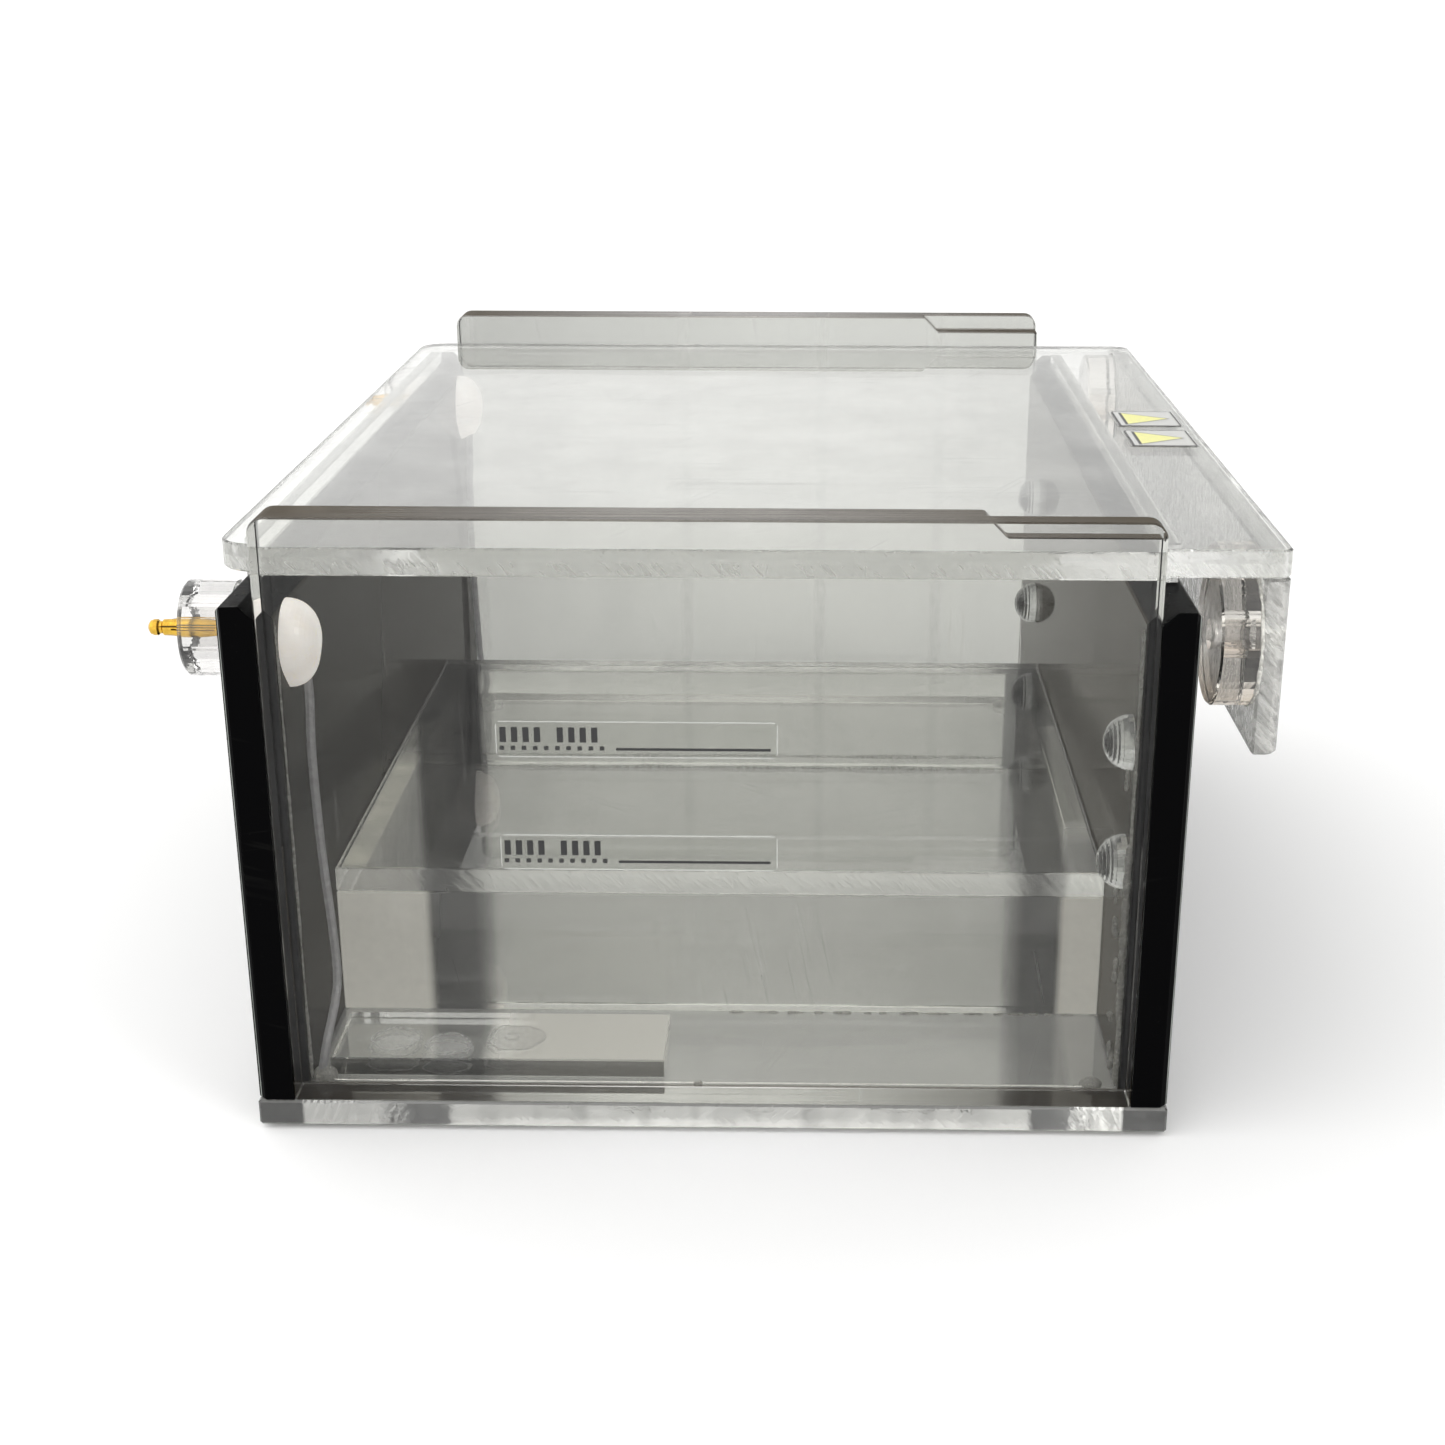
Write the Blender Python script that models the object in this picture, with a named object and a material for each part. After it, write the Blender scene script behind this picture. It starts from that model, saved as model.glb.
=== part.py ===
"""Horizontal gel electrophoresis tank with a lift-off lid. Metres, +Z up, origin under the base's middle.

X runs across the tank, Y along it from the near end to the far end. Each plug side holds a 4 mm pin in a
clear shroud. Its electrode wire runs down inside a sleeve and then across the floor of its buffer chamber.
"""

import math

import bmesh
import bpy
from mathutils import Matrix, Vector

MM = 0.001
GAP = 0.1

# Body of the tank, in millimetres.
WIDTH = 200.0
LENGTH = 282.0
FOOT_HEIGHT = 1.0
FOOT_RADIUS = 6.0
BASE_THICKNESS = 6.0
WALL_THICKNESS = 10.0
WALL_TOP = 119.5
WALL_CHAMFER = 4.8
WALL_OUTER_BEVEL = 1.3
WALL_END_BEVEL = 1.8
END_THICKNESS = 11.0
END_TOP = 138.0
END_HALF_WIDTH = 91.8
END_CORNER = 3.5
ARRIS = 0.4

# Finger notch in the inner top edge of both end plates.
NOTCH_DEPTH = 4.5
NOTCH_START = 60.4

# Gel platform and the two risers that carry it.
PLATFORM_TOP = 43.6
SHEET = 6.0
PLATFORM_NEAR = -93.0
PLATFORM_FAR = 71.0

# Loose-looking but cemented block on the floor of the near chamber.
SLAB_LOW = (-86.3, -126.2, 7.1)
SLAB_HIGH = (-11.2, -103.0, 11.4)

# Clear hemispherical bumpers on the right wall.
BUMPER_RADIUS = 6.2
BUMPERS = {
    "wall_bumper_near_high": (-120.0, 85.6),
    "wall_bumper_near_low": (-120.0, 58.0),
    "wall_bumper_far_high": (87.0, 85.6),
    "wall_bumper_far_low": (87.0, 58.0),
}

# Plugs.
PLUG_Z = 108.3
PLUG_Y = {"near": -117.5, "far": 117.5}
PIN_TIP = 120.6
SHROUD_RADIUS = 10.3
SHROUD_BORE = 4.75
SHROUD_LENGTH = 11.8
PIN_HOLE = 2.3
POTTING_Y = {"near": -119.5, "far": 117.0}
# Each sleeve hangs a little differently: X, distance towards the end plate, and Z of points along it.
SLEEVE_ROUTE = {
    "near": ((-86.6, 0, 95), (-87.0, 0.6, 80), (-86.2, 1.6, 58), (-84.9, 2.6, 40), (-84.6, 3.6, 27)),
    "far": ((-87.3, 0, 95), (-88.2, 1.4, 80), (-88.4, 3.4, 58), (-88.2, 5.2, 40), (-87.8, 6.6, 27)),
}

# Wire and its sleeve.
WIRE_RADIUS = 0.2
SLEEVE_RADIUS = 1.0
SLEEVE_BORE = 0.55
FLOOR_WIRE_INSET = 1.0

# Lid.
LID_LEFT = -102.0
LID_RIGHT = 120.0
LID_HALF_LENGTH = 128.8
LID_BOTTOM = 123.5
LID_THICKNESS = 6.0
FLANGE_THICKNESS = 5.8
FLANGE_BOTTOM = 85.0
BOSS_RADIUS = 15.1
BOSS_THICKNESS = 8.5
BOSS_BORE = 3.25
RUNNER_WIDTH = 3.4

LABEL_THICKNESS = 0.15


def material(name, color, metallic=0.0, roughness=0.2, alpha=1.0):
    made = bpy.data.materials.new(name)
    made.use_nodes = True
    shader = made.node_tree.nodes["Principled BSDF"]
    shader.inputs["Base Color"].default_value = (*color, 1.0)
    shader.inputs["Metallic"].default_value = metallic
    shader.inputs["Roughness"].default_value = roughness
    shader.inputs["Alpha"].default_value = alpha
    made.diffuse_color = (*color, alpha)
    return made


def mesh_object(name, bm, made_of, smooth=False):
    """A node from a bmesh whose coordinates are in millimetres, with its own material."""
    bmesh.ops.scale(bm, vec=(MM, MM, MM), verts=bm.verts)
    bmesh.ops.recalc_face_normals(bm, faces=bm.faces)
    mesh = bpy.data.meshes.new(name)
    bm.to_mesh(mesh)
    bm.free()
    obj = bpy.data.objects.new(name, mesh)
    bpy.context.scene.collection.objects.link(obj)
    if made_of is not None:
        color, metallic, roughness, alpha = made_of
        mesh.materials.append(material(name, color, metallic, roughness, alpha))
    if smooth:
        mesh.shade_smooth()
        mesh.set_sharp_from_angle(angle=math.radians(35))
    return obj


def prism_mesh(profile, axis, start, end):
    """A closed bmesh from a polygon, extruded along an axis. Its pairs are the two other axes in order."""
    bm = bmesh.new()
    rings = []
    for level in (start, end):
        ring = []
        for a, b in profile:
            point = [a, b]
            point.insert(axis, level)
            ring.append(bm.verts.new(point))
        rings.append(ring)
    bm.faces.new(rings[0])
    bm.faces.new(list(reversed(rings[1])))
    count = len(profile)
    for i in range(count):
        j = (i + 1) % count
        bm.faces.new((rings[0][i], rings[1][i], rings[1][j], rings[0][j]))
    return bm


def box_mesh(low, high):
    profile = ((low[0], low[1]), (high[0], low[1]), (high[0], high[1]), (low[0], high[1]))
    return prism_mesh(profile, 2, low[2], high[2])


def rounded(low, high, radii, steps=8):
    """A rectangle's outline with its own radius at each corner: low-low, high-low, high-high, low-high."""
    corners = ((low[0], low[1]), (high[0], low[1]), (high[0], high[1]), (low[0], high[1]))
    inward = ((1, 1), (-1, 1), (-1, -1), (1, -1))
    outline = []
    for index, (corner, side, radius) in enumerate(zip(corners, inward, radii)):
        if radius == 0:
            outline.append(corner)
            continue
        for step in range(steps + 1):
            angle = math.pi * (1 + index / 2) + math.pi / 2 * step / steps
            x = corner[0] + side[0] * radius + radius * math.cos(angle)
            y = corner[1] + side[1] * radius + radius * math.sin(angle)
            outline.append((x, y))
    return outline


def chamfer(bm, offset, wanted):
    """Cuts the edges whose two ends both pass the test."""
    edges = [edge for edge in bm.edges if all(wanted(vert.co) for vert in edge.verts)]
    bmesh.ops.bevel(bm, geom=edges, offset=offset, segments=1, affect="EDGES", profile=0.5)


def break_edges(obj, width=ARRIS):
    """Takes the sharp arris off a cut sheet."""
    bevel = obj.modifiers.new("arris", "BEVEL")
    bevel.width = width * MM
    bevel.segments = 1
    bevel.limit_method = "ANGLE"
    bevel.angle_limit = math.radians(40)
    bevel.harden_normals = False


def cut(obj, name, bm):
    """Subtracts a hidden cutter."""
    cutter = mesh_object(name, bm, None)
    cutter.hide_render = True
    cutter.display_type = "WIRE"
    boolean = obj.modifiers.new(name, "BOOLEAN")
    boolean.operation = "DIFFERENCE"
    boolean.solver = "EXACT"
    boolean.object = cutter


def lathe_mesh(profile, centre, axis=0, segments=40):
    """A solid turned about an axis. The profile's pairs are (position along the axis, radius).
    A zero radius is a point. A profile that ends where it starts makes a ring."""
    bm = bmesh.new()
    ring_shape = profile[0] == profile[-1]
    rows = profile[:-1] if ring_shape else profile
    others = [i for i in range(3) if i != axis]
    rings = []
    for along, radius in rows:
        ring = []
        for step in range(1 if radius == 0 else segments):
            angle = 2 * math.pi * step / segments
            point = list(centre)
            point[axis] = along
            point[others[0]] += radius * math.cos(angle)
            point[others[1]] += radius * math.sin(angle)
            ring.append(bm.verts.new(point))
        rings.append(ring)
    pairs = list(zip(rings, rings[1:]))
    if ring_shape:
        pairs.append((rings[-1], rings[0]))
    for first, second in pairs:
        for step in range(segments):
            after = (step + 1) % segments
            if len(first) == 1:
                bm.faces.new((first[0], second[step], second[after]))
            elif len(second) == 1:
                bm.faces.new((first[step], second[0], first[after]))
            else:
                bm.faces.new((first[step], second[step], second[after], first[after]))
    if not ring_shape:
        for ring in (rings[0], rings[-1]):
            if len(ring) > 1:
                bm.faces.new(ring)
    return bm


def tube(start, end, inner, outer, edge=0.0):
    """The turned profile of a tube along its axis, with its outer rims broken."""
    return (
        (start, inner),
        (start, outer - edge),
        (start + edge, outer),
        (end - edge, outer),
        (end, outer - edge),
        (end, inner),
        (start, inner),
    ) if edge else ((start, inner), (start, outer), (end, outer), (end, inner), (start, inner))


def smooth_path(points, steps):
    """A Catmull-Rom curve through the points."""
    knots = [Vector(point) for point in points]
    knots = [2 * knots[0] - knots[1]] + knots + [2 * knots[-1] - knots[-2]]
    path = []
    for p0, p1, p2, p3 in zip(knots, knots[1:], knots[2:], knots[3:]):
        for step in range(steps):
            t = step / steps
            square = 2 * p0 - 5 * p1 + 4 * p2 - p3
            cube = 3 * p1 - p0 - 3 * p2 + p3
            path.append(0.5 * (2 * p1 + (p2 - p0) * t + square * t**2 + cube * t**3))
    path.append(knots[-2])
    return path


def sweep_mesh(path, outer, inner=0.0, segments=10):
    """A round rod, or a tube, along a path."""
    bm = bmesh.new()
    tangents = []
    for i, point in enumerate(path):
        before = path[max(i - 1, 0)]
        after = path[min(i + 1, len(path) - 1)]
        tangents.append((after - before).normalized())
    normal = tangents[0].orthogonal().normalized()
    shells = []
    frames = []
    for point, tangent in zip(path, tangents):
        normal = (normal - tangent * normal.dot(tangent)).normalized()
        frames.append((point, normal, tangent.cross(normal)))
    for radius in (outer, inner) if inner else (outer,):
        rings = []
        for point, across, up in frames:
            ring = []
            for step in range(segments):
                angle = 2 * math.pi * step / segments
                ring.append(bm.verts.new(point + radius * (across * math.cos(angle) + up * math.sin(angle))))
            rings.append(ring)
        shells.append(rings)
        for first, second in zip(rings, rings[1:]):
            for step in range(segments):
                after = (step + 1) % segments
                bm.faces.new((first[step], second[step], second[after], first[after]))
    if inner:
        for end in (0, -1):
            for step in range(segments):
                after = (step + 1) % segments
                outer, inner = shells[0][end], shells[1][end]
                bm.faces.new((outer[step], inner[step], inner[after], outer[after]))
    else:
        bm.faces.new(shells[0][0])
        bm.faces.new(shells[0][-1])
    return bm


CLEAR = ((0.86, 0.87, 0.85), 0.0, 0.08, 0.35)
BLACK = ((0.012, 0.012, 0.013), 0.0, 0.12, 1.0)
GOLD = ((0.83, 0.60, 0.20), 1.0, 0.22, 1.0)
BRASS = ((0.72, 0.56, 0.30), 1.0, 0.35, 1.0)
TINNED = ((0.66, 0.65, 0.62), 1.0, 0.35, 1.0)
PLATINUM = ((0.72, 0.71, 0.69), 1.0, 0.25, 1.0)
SEALANT = ((0.82, 0.80, 0.76), 0.0, 0.35, 1.0)
SLEEVE = ((0.80, 0.80, 0.84), 0.0, 0.25, 0.5)
SILICONE = ((0.80, 0.81, 0.80), 0.0, 0.15, 0.5)
CEMENT = ((0.80, 0.79, 0.74), 0.0, 0.4, 0.7)
PRINT_FILM = ((0.85, 0.86, 0.85), 0.0, 0.3, 0.6)
YELLOW = ((0.80, 0.72, 0.18), 0.0, 0.35, 1.0)

BASE_TOP = FOOT_HEIGHT + BASE_THICKNESS
HALF_WIDTH = WIDTH / 2
HALF_LENGTH = LENGTH / 2
INNER = HALF_WIDTH - WALL_THICKNESS
END_INNER = HALF_LENGTH - END_THICKNESS


def build_base():
    low = (-HALF_WIDTH, -HALF_LENGTH, FOOT_HEIGHT)
    base = mesh_object("base_plate", box_mesh(low, (HALF_WIDTH, HALF_LENGTH, BASE_TOP)), CLEAR)
    break_edges(base, 0.5)
    inset = 9.0
    for end, y in (("near", -HALF_LENGTH + inset), ("far", HALF_LENGTH - inset)):
        for side, x in (("left", -88.0), ("right", 88.0)):
            top = FOOT_HEIGHT - GAP
            profile = ((0.0, 0.0), (0.0, 5.6), (0.3, FOOT_RADIUS), (top, FOOT_RADIUS), (top, 0.0))
            foot = lathe_mesh(profile, (x, y, 0.0), axis=2, segments=28)
            mesh_object(f"foot_{end}_{side}", foot, SILICONE, smooth=True)


def build_walls():
    """Two black side walls. Both ends of each are rebated for the end plates."""
    for side, sign in (("left", -1), ("right", 1)):
        low = BASE_TOP + GAP
        profile = (
            (sign * INNER, low),
            (sign * HALF_WIDTH, low),
            (sign * HALF_WIDTH, WALL_TOP - WALL_OUTER_BEVEL),
            (sign * (HALF_WIDTH - WALL_OUTER_BEVEL), WALL_TOP),
            (sign * (INNER + WALL_CHAMFER), WALL_TOP),
            (sign * INNER, WALL_TOP - WALL_CHAMFER),
        )
        bm = prism_mesh(profile, 1, -HALF_LENGTH, HALF_LENGTH)
        for end in (-1, 1):
            chamfer(
                bm,
                WALL_END_BEVEL,
                lambda co: abs(abs(co.x) - HALF_WIDTH) < 0.01 and abs(co.y - end * HALF_LENGTH) < 0.01,
            )
        wall = mesh_object(f"{side}_side_wall", bm, BLACK)
        break_edges(wall, 0.25)
        for end in (-1, 1):
            xs = sorted((sign * (INNER - 2), sign * (END_HALF_WIDTH + GAP)))
            ys = sorted((end * (END_INNER - GAP), end * (HALF_LENGTH + 2)))
            rebate = box_mesh((xs[0], ys[0], 0.0), (xs[1], ys[1], WALL_TOP + 5))
            cut(wall, f"cut_{side}_rebate_{'near' if end < 0 else 'far'}", rebate)
        if side == "left":
            for end, y in PLUG_Y.items():
                profile = ((-HALF_WIDTH - 5, PIN_HOLE), (-INNER + 5, PIN_HOLE))
                hole = lathe_mesh(profile, (0, y, PLUG_Z), segments=24)
                cut(wall, f"cut_{end}_pin_hole", hole)


def build_end_plates():
    """Clear end plates that stand above the walls and hold the lid between them."""
    for name, end in (("near", -1), ("far", 1)):
        radii = (0, 0, END_CORNER, END_CORNER)
        outline = rounded((-END_HALF_WIDTH, BASE_TOP + GAP), (END_HALF_WIDTH, END_TOP), radii, steps=6)
        ys = sorted((end * END_INNER, end * HALF_LENGTH))
        plate = mesh_object(f"{name}_end_plate", prism_mesh(outline, 1, ys[0], ys[1]), CLEAR)
        shelf = END_TOP - NOTCH_DEPTH
        notch = (
            (NOTCH_START, shelf),
            (END_HALF_WIDTH + 3, shelf),
            (END_HALF_WIDTH + 3, END_TOP + 2),
            (NOTCH_START - NOTCH_DEPTH - 2, END_TOP + 2),
        )
        middle = (END_INNER + HALF_LENGTH) / 2
        ys = sorted((end * (END_INNER - 2), end * middle))
        cut(plate, f"cut_{name}_notch", prism_mesh(notch, 1, ys[0], ys[1]))
        break_edges(plate, 0.35)


def build_platform():
    reach = INNER - GAP
    low = (-reach, PLATFORM_NEAR, PLATFORM_TOP - SHEET)
    platform = mesh_object("gel_platform", box_mesh(low, (reach, PLATFORM_FAR, PLATFORM_TOP)), CLEAR)
    break_edges(platform, 0.3)
    starts = {"near": PLATFORM_NEAR, "far": PLATFORM_FAR - SHEET}
    for name, start in starts.items():
        low = (-reach, start, BASE_TOP + GAP)
        high = (reach, start + SHEET, PLATFORM_TOP - SHEET - GAP)
        riser = mesh_object(f"{name}_riser", box_mesh(low, high), CLEAR)
        break_edges(riser, 0.3)
    for side, sign in (("left", -1), ("right", 1)):
        xs = sorted((sign * reach, sign * (reach - SHEET)))
        low = (xs[0], PLATFORM_NEAR + SHEET + GAP, BASE_TOP + GAP)
        high = (xs[1], PLATFORM_FAR - SHEET - GAP, PLATFORM_TOP - SHEET - GAP)
        rail = mesh_object(f"{side}_platform_rail", box_mesh(low, high), CLEAR)
        break_edges(rail, 0.3)


def build_floor_slab():
    slab = mesh_object("floor_slab", box_mesh(SLAB_LOW, SLAB_HIGH), CLEAR)
    break_edges(slab, 0.3)


def build_bumpers():
    start = INNER - GAP
    profile = [(start, 0.0)]
    steps = 8
    for step in range(steps + 1):
        angle = math.pi / 2 * step / steps
        radius = 0.0 if step == steps else BUMPER_RADIUS * math.cos(angle)
        profile.append((start - BUMPER_RADIUS * math.sin(angle), radius))
    for name, (y, z) in BUMPERS.items():
        mesh_object(name, lathe_mesh(profile, (0, y, z), segments=28), SILICONE, smooth=True)


def pin_profile():
    """A banana pin: a rounded tip behind a groove, bulged leaf springs, a collar and a threaded shank."""
    collar = HALF_WIDTH + GAP
    return (
        (-PIN_TIP, 0.0),
        (-PIN_TIP + 0.15, 0.9),
        (-PIN_TIP + 0.6, 1.5),
        (-PIN_TIP + 1.3, 1.75),
        (-PIN_TIP + 2.1, 1.75),
        (-PIN_TIP + 2.5, 1.35),
        (-PIN_TIP + 3.0, 1.35),
        (-PIN_TIP + 3.4, 1.75),
        (-PIN_TIP + 5.0, 1.8),
        (-PIN_TIP + 7.0, 2.05),
        (-PIN_TIP + 9.0, 2.15),
        (-PIN_TIP + 11.5, 2.15),
        (-PIN_TIP + 13.5, 2.0),
        (-PIN_TIP + 15.2, 1.8),
        (-PIN_TIP + 16.6, 1.8),
        (-PIN_TIP + 17.0, 2.2),
        (-collar - 1.6, 2.2),
        (-collar - 1.6, 3.4),
        (-collar, 3.4),
        (-collar, 2.0),
        (-INNER + 5.3, 2.0),
        (-INNER + 5.6, 1.7),
        (-INNER + 5.6, 0.0),
    )


def build_plug(end, y):
    centre = (0, y, PLUG_Z)
    pin = mesh_object(f"{end}_plug_pin", lathe_mesh(pin_profile(), centre, segments=20), GOLD, smooth=True)
    for turn, thickness in (("level", (3.0, 0.17)), ("upright", (0.17, 3.0))):
        low = (-PIN_TIP + 5.2, y - thickness[0], PLUG_Z - thickness[1])
        high = (-PIN_TIP + 15.0, y + thickness[0], PLUG_Z + thickness[1])
        cut(pin, f"cut_{end}_pin_slot_{turn}", box_mesh(low, high))

    start = -HALF_WIDTH - SHROUD_LENGTH
    shroud = lathe_mesh(tube(start, -HALF_WIDTH - GAP, SHROUD_BORE, SHROUD_RADIUS, 0.6), centre, segments=40)
    mesh_object(f"{end}_plug_shroud", shroud, CLEAR, smooth=True)

    # Inside the wall: a ring tag on the shank, held by a nut.
    tag_start = -INNER + GAP
    outline = []
    for step in range(21):
        angle = math.radians(-60 + 300 * step / 20)
        outline.append((y + 3.7 * math.cos(angle), PLUG_Z + 3.7 * math.sin(angle)))
    outline += [(y - 1.0, PLUG_Z - 7.2), (y + 1.0, PLUG_Z - 7.2)]
    tag = mesh_object(f"{end}_solder_tag", prism_mesh(outline, 0, tag_start, tag_start + 0.5), TINNED)
    cut(tag, f"cut_{end}_tag_hole", lathe_mesh(((-95, 2.15), (-84, 2.15)), centre, segments=24))
    nut_start = tag_start + 0.6
    flats = []
    for step in range(6):
        angle = math.radians(60 * step)
        flats.append((y + 4.0 * math.cos(angle), PLUG_Z + 4.0 * math.sin(angle)))
    nut = mesh_object(f"{end}_plug_nut", prism_mesh(flats, 0, nut_start, nut_start + 2.8), BRASS)
    cut(nut, f"cut_{end}_nut_hole", lathe_mesh(((-95, 2.15), (-84, 2.15)), centre, segments=24))


def potting_mesh(y, segments=32, rows=10):
    """An egg-shaped dab on the wall, drawn out downwards to where the sleeve leaves it."""
    bm = bmesh.new()
    start = -INNER + GAP
    middle = PLUG_Z - 1.0
    rings = []
    for row in range(rows):
        lift = math.pi / 2 * row / rows
        ring = []
        for step in range(segments):
            angle = 2 * math.pi * step / segments
            down = max(0.0, -math.sin(angle))
            across = 8.2 * (1 - 0.30 * down**3) * math.cos(angle)
            height = math.sin(angle) * (8.8 + 1.9 * down**6)
            spread = math.cos(lift) ** 0.8
            depth = start + 7.0 * math.sin(lift)
            ring.append(bm.verts.new((depth, y + across * spread, middle + height * spread)))
        rings.append(ring)
    tip = bm.verts.new((start + 7.0, y, middle))
    for first, second in zip(rings, rings[1:]):
        for step in range(segments):
            after = (step + 1) % segments
            bm.faces.new((first[step], second[step], second[after], first[after]))
    for step in range(segments):
        bm.faces.new((rings[-1][step], tip, rings[-1][(step + 1) % segments]))
    bm.faces.new(rings[0])
    return bm


def dab_mesh(centre, size, floor):
    """A drop of cement on the floor: a squashed ball, flat underneath."""
    bm = bmesh.new()
    bmesh.ops.create_uvsphere(bm, u_segments=16, v_segments=10, radius=1.0)
    bmesh.ops.scale(bm, vec=size, verts=bm.verts)
    bmesh.ops.translate(bm, vec=centre, verts=bm.verts)
    geometry = bm.verts[:] + bm.edges[:] + bm.faces[:]
    plane = bmesh.ops.bisect_plane(
        bm, geom=geometry, plane_co=(0, 0, floor), plane_no=(0, 0, -1), clear_outer=True
    )
    rim = [item for item in plane["geom_cut"] if isinstance(item, bmesh.types.BMEdge)]
    bmesh.ops.edgeloop_fill(bm, edges=rim)
    return bm


def build_wire(end, y):
    """The electrode wire from the solder tag across the chamber's floor, its sleeve, and what holds it."""
    side = -1 if end == "near" else 1
    floor_y = side * (END_INNER - FLOOR_WIRE_INSET)
    corner_y = side * (END_INNER - 1.9)
    down = [(-87.2, y, PLUG_Z - 7.6)]
    down += [(x, y + side * shift, z) for x, shift, z in SLEEVE_ROUTE[end]]
    down += [(-86.4, corner_y - side * 0.8, 16.0), (-87.6, corner_y, 9.8)]
    sleeve_path = smooth_path(down, 3)
    start = [(-88.6, y, PLUG_Z - 6.4)]
    landing = [
        (-87.5, corner_y + side * 0.3, 8.4),
        (-85.4, floor_y - side * 0.2, 7.6),
        (-81.0, floor_y, 7.45),
    ]
    wire_path = smooth_path(start + down + landing, 3) + [Vector((84.0, floor_y, 7.45))]
    wire = sweep_mesh(wire_path, WIRE_RADIUS, segments=6)
    mesh_object(f"{end}_electrode_wire", wire, PLATINUM, smooth=True)
    sleeve = sweep_mesh(sleeve_path, SLEEVE_RADIUS, SLEEVE_BORE, segments=8)
    mesh_object(f"{end}_wire_sleeve", sleeve, SLEEVE, smooth=True)

    potting = mesh_object(f"{end}_potting", potting_mesh(POTTING_Y[end]), SEALANT, smooth=True)
    steps = ((-95.0, 4.3), (-INNER + 3.8, 4.3), (-INNER + 3.8, 2.2), (-INNER + 5.8, 2.2))
    cavity = lathe_mesh(steps, (0, y, PLUG_Z), segments=20)
    cut(potting, f"cut_{end}_nut_pocket", cavity)
    pocket = box_mesh((-95.0, y - 2.0, PLUG_Z - 8.3), (-85.8, y + 2.0, PLUG_Z))
    cut(potting, f"cut_{end}_tag_pocket", pocket)
    cut(potting, f"cut_{end}_sleeve_way", sweep_mesh(sleeve_path, SLEEVE_RADIUS + 0.1, segments=8))

    floor = BASE_TOP + GAP
    dab = dab_mesh((-87.0, corner_y, 8.3), (2.8, 1.75, 2.3), floor)
    corner = mesh_object(f"{end}_wire_anchor_left", dab, CEMENT, smooth=True)
    cut(corner, f"cut_{end}_anchor_sleeve", sweep_mesh(sleeve_path, SLEEVE_RADIUS + 0.1, segments=8))
    cut(corner, f"cut_{end}_anchor_wire", sweep_mesh(wire_path[-15:], WIRE_RADIUS + 0.1, segments=6))
    dab = dab_mesh((84.2, corner_y, 7.6), (2.6, 1.7, 1.6), floor)
    far_dab = mesh_object(f"{end}_wire_anchor_right", dab, CEMENT, smooth=True)
    cut(far_dab, f"cut_{end}_anchor_tail", sweep_mesh(wire_path[-2:], WIRE_RADIUS + 0.1, segments=6))


def build_fill_labels():
    """Clear films on the front of the near end plate, one for each fill height."""
    face = -HALF_LENGTH - 0.05
    for name, low in (("fill_label_high", 87.9), ("fill_label_low", 62.8)):
        outline = rounded((-43.8, low), (14.4, low + 7.9), (1.2, 1.2, 1.2, 1.2), steps=4)
        mesh_object(name, prism_mesh(outline, 1, face - LABEL_THICKNESS, face), PRINT_FILM)


def build_lid():
    top = LID_BOTTOM + LID_THICKNESS
    outline = rounded((LID_LEFT, -LID_HALF_LENGTH), (LID_RIGHT, LID_HALF_LENGTH), (8, 3, 5, 8))
    plate = mesh_object("lid_plate", prism_mesh(outline, 2, LID_BOTTOM, top), CLEAR)
    break_edges(plate)

    flange_face = LID_RIGHT - FLANGE_THICKNESS
    outline = rounded((flange_face, -LID_HALF_LENGTH), (LID_RIGHT, LID_HALF_LENGTH), (0, 3, 5, 0))
    bm = prism_mesh(outline, 2, FLANGE_BOTTOM, LID_BOTTOM - GAP)
    flange = mesh_object("lid_flange", bm, CLEAR)
    break_edges(flange, 0.6)

    # The lid goes on either way round, so its bosses mirror the plugs through the middle of the tank.
    for end, y in (("near", -PLUG_Y["far"]), ("far", -PLUG_Y["near"])):
        centre = (0, y, PLUG_Z)
        boss = tube(flange_face - GAP - BOSS_THICKNESS, flange_face - GAP, BOSS_BORE, BOSS_RADIUS, 0.5)
        mesh_object(f"lid_boss_{end}", lathe_mesh(boss, centre, segments=44), CLEAR, smooth=True)
        hole = lathe_mesh(((flange_face - 3, BOSS_BORE), (LID_RIGHT + 3, BOSS_BORE)), centre, segments=32)
        cut(flange, f"cut_flange_hole_{end}", hole)

    for side, sign in (("left", -1), ("right", 1)):
        middle = sign * (INNER + WALL_CHAMFER + 0.2 + RUNNER_WIDTH / 2)
        low = (middle - RUNNER_WIDTH / 2, -118.0, WALL_TOP + GAP)
        high = (middle + RUNNER_WIDTH / 2, 118.0, LID_BOTTOM - GAP)
        runner = mesh_object(f"lid_runner_{side}", box_mesh(low, high), CLEAR)
        break_edges(runner, 0.3)

    for end, low in (("near", -25.7), ("far", -0.4)):
        outline = rounded((100.3, low), (117.4, low + 19.6), (0.8, 0.8, 0.8, 0.8), steps=4)
        name = f"lid_label_{end}"
        mesh_object(name, prism_mesh(outline, 2, top + 0.05, top + 0.05 + LABEL_THICKNESS), YELLOW)


def build():
    for obj in list(bpy.data.objects):
        bpy.data.objects.remove(obj, do_unlink=True)
    bpy.context.scene.unit_settings.scale_length = 1.0
    build_base()
    build_walls()
    build_end_plates()
    build_platform()
    build_floor_slab()
    build_bumpers()
    for end, y in PLUG_Y.items():
        build_plug(end, y)
        build_wire(end, y)
    build_fill_labels()
    build_lid()


build()
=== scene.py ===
"""Looks of the gel electrophoresis tank: materials, cement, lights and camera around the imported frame."""

import math
import random

import bmesh
import bpy
from mathutils import Matrix, Vector


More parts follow.
